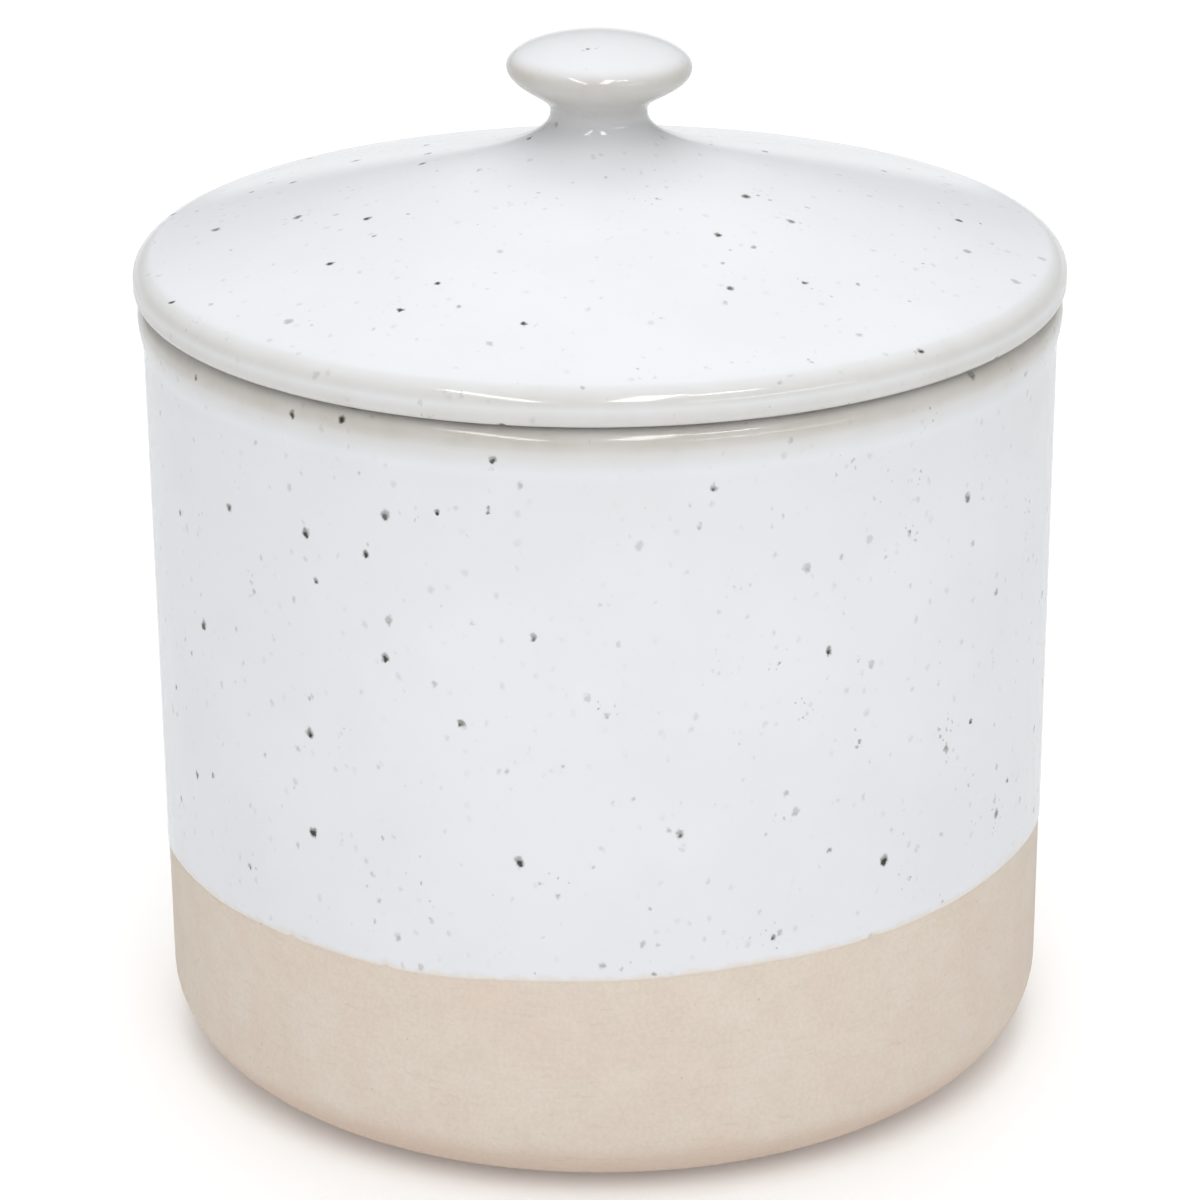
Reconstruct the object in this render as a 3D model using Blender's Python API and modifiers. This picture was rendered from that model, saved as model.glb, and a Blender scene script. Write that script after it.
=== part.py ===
"""Butter crock: a stoneware pot that holds water, and a lid with a butter bell below and a knob above.

Run it with blender --background --python part.py, or from Blender's text editor.
Metres, +Z up. The origin is the centre of the foot's resting face, and every piece is turned about Z.
The lid, its knob and its bell hang on one empty, which lifts straight up off the pot's rim.
"""

from math import cos, pi, radians, sin

import bmesh
import bpy

# Driving dimensions of the pot.
POT_HEIGHT = 0.1025
RIM_RADIUS = 0.0596
RIM_ROLL = 0.0024
RIM_FLARE = 0.0078
WALL_RADIUS_TOP = 0.0589
WALL_RADIUS_FOOT = 0.0586
WALL_THICKNESS = 0.0052
FLOOR_THICKNESS = 0.0065
INSIDE_CORNER = 0.0090
FOOT_RADIUS = 0.0473
FOOT_CORNER = 0.0097
FOOT_RING_WIDTH = 0.0070
FOOT_RECESS = 0.0012

# Driving dimensions of the lid.
LID_RADIUS = 0.0600
EDGE_HEIGHT = 0.0055
EDGE_LOWER_ROUND = 0.0019
EDGE_UPPER_ROUND = (0.0035, 0.00275)
EDGE_TURN = 78
CROWN_HEIGHT = 0.0228
CROWN_HANDLES = ((0.0060, 0.0173), (0.0260, 0.0144))
DOME_WALL = 0.0065
LAND_RISE = 0.0030
LOCATING_RING_DROP = 0.0035
LOCATING_RING_WIDTH = 0.0040
LOCATING_RING_BEVEL = 0.0010
LOCATING_CLEARANCE = 0.0012

# Driving dimensions of the knob.
NECK_RADIUS = 0.0062
NECK_CURL = 0.0019
KNOB_RADIUS = 0.0118
KNOB_WIDEST = 0.0055
KNOB_CROWN = 0.0040
KNOB_UNDER_ROUND = 0.0025

# Driving dimensions of the butter bell.
BELL_RADIUS_TOP = 0.0390
BELL_RADIUS_LIP = 0.0372
BELL_WALL = 0.0046
BELL_LENGTH = 0.0740
BELL_LAND = 0.0070

SEAT_GAP = 0.0003
MERGE_DISTANCE = 0.00001
POT_STEPS = 60
KNOB_STEPS = 40

# Derived sizes.
POT_MOUTH_RADIUS = WALL_RADIUS_TOP - WALL_THICKNESS
LID_SEAT = POT_HEIGHT + SEAT_GAP


def arc(centre, radii, start, end, steps):
    """Points on an elliptic arc about centre, from one angle to another in degrees."""
    turns = (radians(start + (end - start) * i / steps) for i in range(steps + 1))
    return [(centre[0] + radii[0] * cos(a), centre[1] + radii[1] * sin(a)) for a in turns]


def sweep(start, start_handle, end_handle, end, steps):
    """Points on a cubic Bezier curve, without its first point."""
    corners = (start, start_handle, end_handle, end)
    points = []
    for i in range(1, steps + 1):
        t = i / steps
        weights = ((1 - t) ** 3, 3 * t * (1 - t) ** 2, 3 * t * t * (1 - t), t**3)
        points.append(tuple(sum(w * c[k] for w, c in zip(weights, corners)) for k in (0, 1)))
    return points


def fired_clay(name, colour, roughness):
    """A Principled BSDF for one fired piece."""
    material = bpy.data.materials.new(name)
    material.use_nodes = True
    shader = material.node_tree.nodes["Principled BSDF"]
    shader.inputs["Base Color"].default_value = (*colour, 1.0)
    shader.inputs["Roughness"].default_value = roughness
    shader.inputs["Metallic"].default_value = 0.0
    return material


def turned(name, profile, steps, material, collection, ring=False):
    """A body turned about Z from (radius, height) points that run down its outer side.

    A ring's profile closes on itself. Any other profile starts and ends on the axis.
    """
    outline = bmesh.new()
    corners = [outline.verts.new((radius, 0.0, height)) for radius, height in profile]
    for first, second in zip(corners, corners[1:]):
        outline.edges.new((first, second))
    if ring:
        outline.edges.new((corners[-1], corners[0]))
    mesh = bpy.data.meshes.new(name)
    outline.to_mesh(mesh)
    outline.free()
    mesh.materials.append(material)
    piece = bpy.data.objects.new(name, mesh)
    collection.objects.link(piece)
    screw = piece.modifiers.new("Turn", "SCREW")
    screw.axis = "Z"
    screw.angle = 2 * pi
    screw.steps = steps
    screw.render_steps = steps
    screw.use_merge_vertices = True
    screw.merge_threshold = MERGE_DISTANCE
    screw.use_smooth_shade = True
    return piece


def pot_profile():
    """From the middle of the inside floor, up the inside, over the rim, down the wall, under the foot."""
    corner_radius = WALL_RADIUS_FOOT - WALL_THICKNESS - INSIDE_CORNER
    corner_centre = (corner_radius, FLOOR_THICKNESS + INSIDE_CORNER)
    inner_round = RIM_ROLL / 2
    roll_foot = (RIM_RADIUS, POT_HEIGHT - RIM_ROLL)
    flare_foot = (WALL_RADIUS_TOP, POT_HEIGHT - RIM_FLARE)
    flare_reach = 0.4 * (RIM_FLARE - RIM_ROLL)
    foot_centre = (FOOT_RADIUS, FOOT_CORNER)
    ring_inner = FOOT_RADIUS - FOOT_RING_WIDTH

    profile = [(0.0, FLOOR_THICKNESS)]
    profile += arc(corner_centre, (INSIDE_CORNER, INSIDE_CORNER), -90, 0, 5)
    profile += arc(
        (POT_MOUTH_RADIUS + inner_round, POT_HEIGHT - inner_round), (inner_round, inner_round), 180, 90, 3
    )
    profile += arc((RIM_RADIUS - RIM_ROLL, POT_HEIGHT - RIM_ROLL), (RIM_ROLL, RIM_ROLL), 90, 0, 4)
    profile += sweep(
        roll_foot,
        (RIM_RADIUS, roll_foot[1] - flare_reach),
        (WALL_RADIUS_TOP, flare_foot[1] + flare_reach),
        flare_foot,
        4,
    )
    profile += arc(foot_centre, (WALL_RADIUS_FOOT - FOOT_RADIUS, FOOT_CORNER), 0, -90, 7)
    profile += [(ring_inner, 0.0), (ring_inner - FOOT_RECESS, FOOT_RECESS), (0.0, FOOT_RECESS)]
    return profile


def lid_profile():
    """From the top of the crown, down its sweep, round the edge, along the underside and up under the dome.

    Heights are measured from the lid's seat.
    """
    round_r, round_z = EDGE_UPPER_ROUND
    crown = (NECK_RADIUS, CROWN_HEIGHT)
    upper_edge = arc((LID_RADIUS - round_r, EDGE_HEIGHT - round_z), (round_r, round_z), EDGE_TURN, 0, 5)
    lower_centre = (LID_RADIUS - EDGE_LOWER_ROUND, EDGE_LOWER_ROUND)
    ring_outer = POT_MOUTH_RADIUS - LOCATING_CLEARANCE
    ring_inner = ring_outer - LOCATING_RING_WIDTH
    ring_shoulder = LOCATING_RING_BEVEL - LOCATING_RING_DROP
    dome_foot = (BELL_RADIUS_TOP - BELL_LAND, LAND_RISE)
    dome_top = (0.0, CROWN_HEIGHT - DOME_WALL - KNOB_RADIUS / 2)

    profile = [(0.0, CROWN_HEIGHT), crown]
    profile += sweep(crown, *CROWN_HANDLES, upper_edge[0], 10)
    profile += upper_edge[1:]
    profile += arc(lower_centre, (EDGE_LOWER_ROUND, EDGE_LOWER_ROUND), 0, -90, 3)
    profile += [
        (ring_outer, 0.0),
        (ring_outer, ring_shoulder),
        (ring_outer - LOCATING_RING_BEVEL, -LOCATING_RING_DROP),
        (ring_inner + LOCATING_RING_BEVEL, -LOCATING_RING_DROP),
        (ring_inner, ring_shoulder),
        (ring_inner, LAND_RISE),
        dome_foot,
    ]
    profile += sweep(
        dome_foot,
        (dome_foot[0] - BELL_LAND, LAND_RISE + BELL_LAND / 2),
        (dome_foot[0] / 3, dome_top[1]),
        dome_top,
        5,
    )
    return profile


def knob_profile():
    """From the top of the knob, over its rim, in under it to the neck and across the neck's foot.

    Heights are measured from the foot.
    """
    profile = [(0.0, KNOB_WIDEST + KNOB_CROWN)]
    profile += arc((0.0, KNOB_WIDEST), (KNOB_RADIUS, KNOB_CROWN), 78, 0, 6)
    profile += sweep(
        (KNOB_RADIUS, KNOB_WIDEST),
        (KNOB_RADIUS, KNOB_WIDEST - KNOB_UNDER_ROUND),
        (NECK_RADIUS, NECK_CURL),
        (NECK_RADIUS, 0.0),
        7,
    )
    profile.append((0.0, 0.0))
    return profile


def bell_profile():
    """Down the outside, round the lip, up the inside and across the luted end, where heights start."""
    lip_round = BELL_WALL / 2
    lip_centre = (BELL_RADIUS_LIP - lip_round, lip_round - BELL_LENGTH)
    profile = [(BELL_RADIUS_TOP, 0.0)]
    profile += arc(lip_centre, (lip_round, lip_round), 0, -180, 8)
    profile.append((BELL_RADIUS_TOP - BELL_WALL, 0.0))
    return profile


def hang(piece, parent, height):
    """Parents a piece to another object, with its own origin at that height on the axis."""
    piece.parent = parent
    piece.location = (0.0, 0.0, height)


def build():
    """Clears the scene's objects and makes the crock's four pieces."""
    for leftover in list(bpy.data.objects):
        bpy.data.objects.remove(leftover, do_unlink=True)
    crock = bpy.data.collections.new("butter_crock")
    bpy.context.scene.collection.children.link(crock)

    pot_glaze = fired_clay("pot_glaze", (0.80, 0.81, 0.83), 0.14)
    turned("crock_pot", pot_profile(), POT_STEPS, pot_glaze, crock)

    lid_lift = bpy.data.objects.new("lid_lift", None)
    crock.objects.link(lid_lift)
    lid_lift.location = (0.0, 0.0, LID_SEAT)

    lid_glaze = fired_clay("lid_glaze", (0.84, 0.85, 0.87), 0.12)
    hang(turned("crock_lid", lid_profile(), POT_STEPS, lid_glaze, crock), lid_lift, 0.0)

    knob_glaze = fired_clay("knob_glaze", (0.80, 0.80, 0.81), 0.12)
    knob = turned("lid_knob", knob_profile(), KNOB_STEPS, knob_glaze, crock)
    hang(knob, lid_lift, CROWN_HEIGHT + SEAT_GAP)

    bell_glaze = fired_clay("bell_glaze", (0.82, 0.82, 0.82), 0.16)
    bell = turned("butter_bell", bell_profile(), POT_STEPS, bell_glaze, crock, ring=True)
    hang(bell, lid_lift, LAND_RISE - SEAT_GAP)


build()
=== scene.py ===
"""Butter crock: a stoneware pot dipped in speckled white glaze, with its lid, knob and butter bell.

The packed model is loaded as a fixed frame. Each operator below turns one piece of pottery over it,
glazes it, and lets it ride on its body. Lengths are metres, +Z is up, and every piece is turned about Z.
"""

from math import cos, pi, radians, sin

import bpy
import numpy as np
from mathutils import Matrix, Vector


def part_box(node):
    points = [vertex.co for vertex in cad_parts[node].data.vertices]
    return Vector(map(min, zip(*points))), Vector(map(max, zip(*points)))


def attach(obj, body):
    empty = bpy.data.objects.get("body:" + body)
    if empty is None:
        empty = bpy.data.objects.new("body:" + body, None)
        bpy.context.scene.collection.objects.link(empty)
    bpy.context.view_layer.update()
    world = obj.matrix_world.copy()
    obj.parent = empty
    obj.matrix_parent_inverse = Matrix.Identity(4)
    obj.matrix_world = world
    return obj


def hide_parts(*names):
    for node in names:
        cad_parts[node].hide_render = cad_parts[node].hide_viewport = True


bl_info = {
    "name": "Butter Crock",
    "version": (1, 0, 0),
    "blender": (4, 5, 0),
    "location": "View3D > Sidebar > Butter Crock",
    "description": "Turns and glazes the pot, lid, knob and butter bell of a stoneware butter crock",
    "category": "Add Mesh",
}

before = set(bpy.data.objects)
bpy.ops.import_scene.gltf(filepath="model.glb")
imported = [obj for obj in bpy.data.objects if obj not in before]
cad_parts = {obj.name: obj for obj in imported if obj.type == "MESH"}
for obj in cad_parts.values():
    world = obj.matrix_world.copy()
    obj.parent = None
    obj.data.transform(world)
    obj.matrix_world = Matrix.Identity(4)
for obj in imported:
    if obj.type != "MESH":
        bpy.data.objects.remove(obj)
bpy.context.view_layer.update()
POT_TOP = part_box("crock_pot")[1]
LID_LOW, LID_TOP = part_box("crock_lid")
KNOB_FOOT, KNOB_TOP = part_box("lid_knob")
BELL_LIP, BELL_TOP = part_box("butter_bell")

SEGMENTS = 800
KNOB_SEGMENTS = 480
CROWN_STEPS = 32
SHARP_ANGLE = radians(50)

# The fired lid slumped a little: its crown and its knob stand this much lower than they were planned.
SLUMP = 0.00036
CROWN = LID_TOP.z - SLUMP
KNOB_LOW = KNOB_FOOT.z - SLUMP
KNOB_HIGH = KNOB_TOP.z - SLUMP

# The lid sits a hair above the pot's rim, and its neck meets the knob halfway across their gap.
SEAT_GAP = 0.0003
SEAT = POT_TOP.z + SEAT_GAP
NECK_JOINT = (CROWN + KNOB_LOW) / 2

# How deep the glaze lies, from 0 for bare to 1 for pooled: on a plain run, and on the neck where the lid
# meets the knob, where the lower depth is partly thin glaze and partly painted shade of the knob. That
# thin glaze and painted shade reach about this far down the lid's sweep.
PLAIN_DEPTH = 0.5
NECK_THIN_AND_SHADE_DEPTH = 0.27
NECK_THIN_AND_SHADE_REACH = 0.0035

# The glaze line's waver is made of this many waves round the pot, each with a random phase and share.
WAVER_SEED = 41
WAVER_WAVES = (2, 3, 5, 7, 11, 17, 26, 43, 71)

# Wide sags, then small nicks, in the glaze line: their bearing in degrees, their rise and their width.
SAGS_AND_NICKS = (
    (0.0, -0.0026, 0.0175),
    (180.0, -0.0027, 0.0160),
    (246.0, -0.0006, 0.0110),
    (286.0, 0.0003, 0.0120),
    (228.0, 0.00050, 0.00055),
    (242.5, 0.00045, 0.00040),
    (305.0, 0.00030, 0.00070),
    (20.0, 0.00045, 0.00050),
    (97.0, 0.00035, 0.00060),
    (152.0, 0.00050, 0.00045),
)

# A colour mix node's own sockets for its two colours, and for the colour that it puts out.
MIX_UNDER, MIX_OVER, MIX_RESULT = 6, 7, 2


def length(name, description, default):
    """A length in metres that a user can change."""
    return bpy.props.FloatProperty(
        name=name,
        description=description,
        default=default,
        precision=5,
        unit="LENGTH",
        subtype="DISTANCE",
    )


def tint(name, description, default):
    """A colour that a user can change."""
    return bpy.props.FloatVectorProperty(
        name=name, description=description, default=default, size=3, min=0.0, max=1.0, subtype="COLOR"
    )


def amount(name, description, default, subtype="NONE"):
    """A plain number, factor or angle that a user can change."""
    return bpy.props.FloatProperty(name=name, description=description, default=default, subtype=subtype)


# ---------------------------------------------------------------------------------------------- settings


class PotSettings(bpy.types.PropertyGroup):
    """Sizes of the pot and of its dipped glaze"""

    rim_roll: length("Rim roll", "Rounding of the rim's outer edge", 0.0021)
    rim_flare: length("Rim flare", "How far below the rim its flare begins", 0.0070)
    wall_top: length("Wall radius, top", "Outer radius of the wall below the rim", 0.0590)
    wall_foot: length("Wall radius, foot", "Outer radius of the wall above the foot", 0.0587)
    wall: length("Wall thickness", "Thickness of the wall", 0.0052)
    floor: length("Floor thickness", "Thickness of the floor", 0.0065)
    inside_corner: length("Inside corner", "Rounding between floor and wall inside", 0.0090)
    foot_radius: length("Foot radius", "Outer radius of the face that the pot rests on", 0.0473)
    foot_corner: length("Foot corner", "Height of the rounding between wall and foot", 0.0097)
    foot_ring: length("Foot ring width", "Width of the face that the pot rests on", 0.0070)
    foot_recess: length("Foot recess", "Depth of the recess inside the foot ring", 0.0012)
    line_height: length("Glaze line height", "Height of the glaze line above the foot", 0.0309)
    line_tilt: amount("Glaze line tilt", "How much the dip leaned towards one side", 0.026)
    line_waver: length("Glaze line waver", "How far the glaze line wavers", 0.00016)
    glaze_thickness: length("Glaze thickness", "How far the glaze stands proud of the clay", 0.00012)
    glaze_edge: length("Glaze edge", "Height over which the glaze rounds off at its line", 0.0005)
    # These two darken the rim below the lid's edge: partly thin glaze, partly painted shade under the
    # lid.
    thin_and_shade_rim: amount("Thin rim", "How much thinner the glaze lies at the rim", 0.20)
    thin_and_shade_reach: length("Thin reach", "How far below the rim the glaze is still thin", 0.0100)


class LidSettings(bpy.types.PropertyGroup):
    """Sizes of the lid"""

    edge_height: length("Edge height", "Height of the lid's edge above its seat", 0.00516)
    edge_under: length("Under edge", "Height of the rounding under the lid's edge", 0.0014)
    edge_tuck: length("Edge tuck", "How far in that rounding runs to the seat", 0.0016)
    edge_round: length("Edge rounding, across", "Reach of the rounding over the lid's edge", 0.0035)
    edge_drop: length("Edge rounding, down", "Drop of the rounding over the lid's edge", 0.00275)
    dome_wall: length("Dome wall", "Clay between the dome and the top of the lid", 0.0065)
    land_rise: length("Land rise", "How far the underside rises inside the locating ring", 0.0030)
    ring_width: length("Locating ring width", "Width of the ring that drops into the pot's mouth", 0.0040)
    ring_clearance: length("Ring clearance", "Gap between the locating ring and the pot's mouth", 0.0012)
    ring_round: length("Ring rounding", "Rounding of the locating ring's edges", 0.0010)
    land: length("Bell land", "Width of the land that the bell is luted to", 0.0070)


class KnobSettings(bpy.types.PropertyGroup):
    """Sizes of the knob"""

    neck: length("Neck radius", "Radius of the neck at its narrowest", 0.0062)
    neck_curl: length("Neck curl", "How fast the knob curls out of its neck", 0.0019)
    crown: length("Crown height", "Height of the knob's crown above its widest ring", 0.0040)
    under_round: length("Under rounding", "Rounding under the knob's widest ring", 0.0025)
    # A low depth darkens the under side: partly thin glaze, partly painted shade under the knob.
    thin_and_shade_under: amount("Thin under side", "How deep the glaze lies below the widest ring", 0.12)
    lean: amount("Lean", "How far the hand-set knob leans", radians(1.0), "ANGLE")


class BellSettings(bpy.types.PropertyGroup):
    """Sizes of the butter bell"""

    lip_radius: length("Lip radius", "Outer radius of the bell's lip", 0.0372)
    wall: length("Wall thickness", "Thickness of the bell's wall", 0.0046)
    fillet: length("Slip fillet", "Rounding of the slip that lutes the bell to the lid", 0.0014)
    wiped: length("Wiped lip", "Height of the lip that was wiped bare to stand in the kiln", 0.0026)


class GlazeSettings(bpy.types.PropertyGroup):
    """Colours of the glaze and of the clay under it"""

    white: tint("Glaze", "The glaze where it lies thick", (0.800, 0.812, 0.838))
    cloud: tint("Cloud", "The faint clouds in the glaze", (0.765, 0.775, 0.795))
    # The thin glaze colour is partly painted shade, under the lid's edge and round the knob.
    thin: tint("Thin glaze", "The glaze where it runs thin over an edge", (0.545, 0.515, 0.465))
    iron: tint("Iron", "The heart of an iron speck", (0.012, 0.010, 0.008))
    bloom: tint("Iron bloom", "The olive grey that bleeds round an iron speck", (0.150, 0.142, 0.108))
    ash: tint("Ash", "The faint specks deep in the glaze", (0.330, 0.330, 0.315))
    roughness: amount("Roughness", "Roughness of the fired glaze", 0.065, "FACTOR")
    clay: tint("Clay", "The bare fired clay", (0.738, 0.646, 0.552))
    clay_pale: tint("Pale clay", "The paler, drier patches of the clay", (0.758, 0.678, 0.586))
    clay_blush: tint("Clay blush", "The pinker patches of the clay", (0.750, 0.618, 0.528))
    # Painted shade: this colour darkens the clay towards the foot, which faces down to the floor.
    clay_foot_shade: tint("Toasted clay", "The clay that the kiln shelf browned", (0.600, 0.440, 0.350))
    clay_dark: tint("Dark clay", "Grit, pits and rubbed places", (0.330, 0.245, 0.180))


class StageSettings(bpy.types.PropertyGroup):
    """The floor, the lights and the camera"""

    distance: length("Camera distance", "Distance from the crock's axis to the camera", 0.5325)
    aside: length("Camera aside", "How far the camera stands to the right of the crock's axis", -0.00027)
    height: length("Camera height", "Height of the camera above the floor", 0.2667)
    pitch: amount("Camera pitch", "How far the camera looks down", radians(21.377), "ANGLE")
    roll: amount("Camera roll", "How far the camera is rolled", radians(-0.384), "ANGLE")
    lens: amount("Lens", "Focal length in millimetres on a 36 mm sensor", 129.0)
    floor: tint("Floor", "Colour of the floor", (0.95, 0.95, 0.95))
    glow: amount("Floor glow", "Light that comes through the floor", 0.10)
    sky: amount("Surround", "Brightness of the surrounding tent", 0.385)
    backdrop: amount("Backdrop", "Brightness of the backdrop that the camera sees", 1.0)
    ground: amount("Ground", "Brightness that the glaze mirrors from below the horizon", 0.85)


SETTINGS = {
    "crock_pot_settings": PotSettings,
    "crock_lid_settings": LidSettings,
    "crock_knob_settings": KnobSettings,
    "crock_bell_settings": BellSettings,
    "crock_glaze_settings": GlazeSettings,
    "crock_stage_settings": StageSettings,
}

# ---------------------------------------------------------------------------------------------- outlines


def arc(centre, radii, start, end, steps):
    """Points on an elliptic arc about centre, from one angle to another in degrees."""
    turns = (radians(start + (end - start) * i / steps) for i in range(steps + 1))
    return [(centre[0] + radii[0] * cos(a), centre[1] + radii[1] * sin(a)) for a in turns]


def sweep(start, start_handle, end_handle, end, steps):
    """Points on a cubic Bezier curve, without its first point."""
    corners = np.array((start, start_handle, end_handle, end))
    t = np.linspace(0, 1, steps + 1)[1:, None]
    weights = np.hstack(((1 - t) ** 3, 3 * t * (1 - t) ** 2, 3 * t * t * (1 - t), t**3))
    return [tuple(point) for point in weights @ corners]


def rounded(corners, steps=8):
    """An outline through (radius, height, rounding) corners, each turned on an arc of its own rounding.

    A point close to each end of an arc keeps the straight runs beside it flat.
    """
    points = [corners[0][:2]]
    for before, corner, after in zip(corners, corners[1:], corners[2:]):
        here, rounding = Vector(corner[:2]), corner[2]
        back = (Vector(before[:2]) - here).normalized()
        ahead = (Vector(after[:2]) - here).normalized()
        half = back.angle(ahead) / 2
        run = rounding / np.tan(half)
        centre = here + (back + ahead).normalized() * rounding / sin(half)
        first, last = here + back * run - centre, here + ahead * run - centre
        swing = first.angle(last)
        points.append(here + back * (run + rounding / 4))
        for i in range(steps + 1):
            t = i / steps
            points.append(centre + (first * sin((1 - t) * swing) + last * sin(t * swing)) / sin(swing))
        points.append(here + ahead * (run + rounding / 4))
    points.append(corners[-1][:2])
    return [tuple(point) for point in points]


def glaze_depth(outline, closed=False):
    """How thick glaze lies along an outline: 0 on tight outer edges, 0.5 on plain runs, 1 in hollows.

    The bend at each point is averaged over its neighbours, because glaze doesn't follow a sharp change.
    """
    tight, spread, end_points = 0.0013, 0.0007, 5
    points = np.array(outline)
    ahead = np.roll(points, -1, axis=0) - points
    if not closed:
        ahead[-1] = ahead[-2]
    reach = np.hypot(*ahead.T)
    behind = np.roll(ahead, 1, axis=0)
    if not closed:
        behind[0] = ahead[0]
    crossed = behind[:, 0] * ahead[:, 1] - behind[:, 1] * ahead[:, 0]
    bend = np.arctan2(crossed, (behind * ahead).sum(axis=1))
    run = (reach + np.roll(reach, 1)) / 2
    curve = np.clip(bend / run * tight, -1, 1)
    along = np.concatenate(((0.0,), np.cumsum(reach)[:-1]))
    near = np.exp(-(((along[:, None] - along[None, :]) / spread) ** 2)) * run
    depth = PLAIN_DEPTH * (1 + np.clip((near @ curve) / near.sum(axis=1), -1, 1))
    if not closed:
        # An open outline ends out of sight, at the axis or in the neck.
        order = np.arange(len(points))
        depth[np.minimum(order, order[::-1]) < end_points] = PLAIN_DEPTH
    return depth


def even_rows(outline, columns):
    """Rows of radii and of heights for a body that is the same all the way round."""
    return (np.outer(values, np.ones(columns)) for values in zip(*outline))


# ---------------------------------------------------------------------------------------------- pottery


def turned(name, radius, height, depth, above=None, closed=False):
    """A closed body from rows of radii and heights, one column for each angle about Z.

    Rows run down the outer side. An open set of rows starts and ends on the axis with one point each.
    """
    rows, columns = radius.shape
    turns = np.linspace(0, 2 * pi, columns, endpoint=False)
    corners = np.stack((radius * np.cos(turns), radius * np.sin(turns), height), axis=2)
    grid = np.arange(rows * columns).reshape(rows, columns)
    beside = np.roll(grid, -1, axis=1)
    below = np.roll(grid, -1, axis=0) if closed else grid[1:]
    below_beside = np.roll(below, -1, axis=1)
    upper, upper_beside = (grid, beside) if closed else (grid[:-1], beside[:-1])
    faces = np.stack((upper, below, below_beside, upper_beside), axis=2).reshape(-1, 4).tolist()
    points = corners.reshape(-1, 3).tolist()
    values = np.repeat(depth, columns)
    heights = None if above is None else above.ravel()
    if not closed:
        first, last = len(points), len(points) + 1
        points += [(0.0, 0.0, height[0, 0]), (0.0, 0.0, height[-1, 0])]
        faces += [(first, a, b) for a, b in zip(grid[0].tolist(), beside[0].tolist())]
        faces += [(last, b, a) for a, b in zip(grid[-1].tolist(), beside[-1].tolist())]
        values = np.append(values, (PLAIN_DEPTH, PLAIN_DEPTH))
        if heights is not None:
            heights = np.append(heights, (1.0, -1.0))
    mesh = bpy.data.meshes.new(name)
    mesh.from_pydata(points, [], faces)
    mesh.attributes.new("glaze_depth", "FLOAT", "POINT").data.foreach_set("value", values)
    if heights is not None:
        mesh.attributes.new("above_line", "FLOAT", "POINT").data.foreach_set("value", heights)
    mesh.shade_smooth()
    mesh.set_sharp_from_angle(angle=SHARP_ANGLE)
    piece = bpy.data.objects.new(name, mesh)
    bpy.context.scene.collection.objects.link(piece)
    return piece


def glazed_and_bare(piece, glaze, clay):
    """Glaze on the faces above the glaze line, and bare clay on the faces below it."""
    mesh = piece.data
    mesh.materials.append(glaze)
    mesh.materials.append(clay)
    above = np.empty(len(mesh.vertices), np.float32)
    mesh.attributes["above_line"].data.foreach_get("value", above)
    bare = [int(above[list(face.vertices)].mean() < 0.0) for face in mesh.polygons]
    mesh.polygons.foreach_set("material_index", bare)


def glaze_line(turns, settings):
    """Height of the glaze line at each angle: a leaning dip, a slow waver, wide sags and small nicks."""
    line = settings.line_height + settings.line_tilt * settings.wall_foot * np.cos(turns)
    chance = np.random.default_rng(WAVER_SEED)
    for waves in WAVER_WAVES:
        phase, share = chance.uniform(0, 2 * pi), chance.uniform(0.4, 1.0)
        line += settings.line_waver * share / waves**0.7 * np.sin(waves * turns + phase)
    for bearing, rise, width in SAGS_AND_NICKS:
        off = (turns - radians(bearing) + pi) % (2 * pi) - pi
        line += rise * np.exp(-((off * settings.wall_foot / width) ** 2))
    return line


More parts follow.
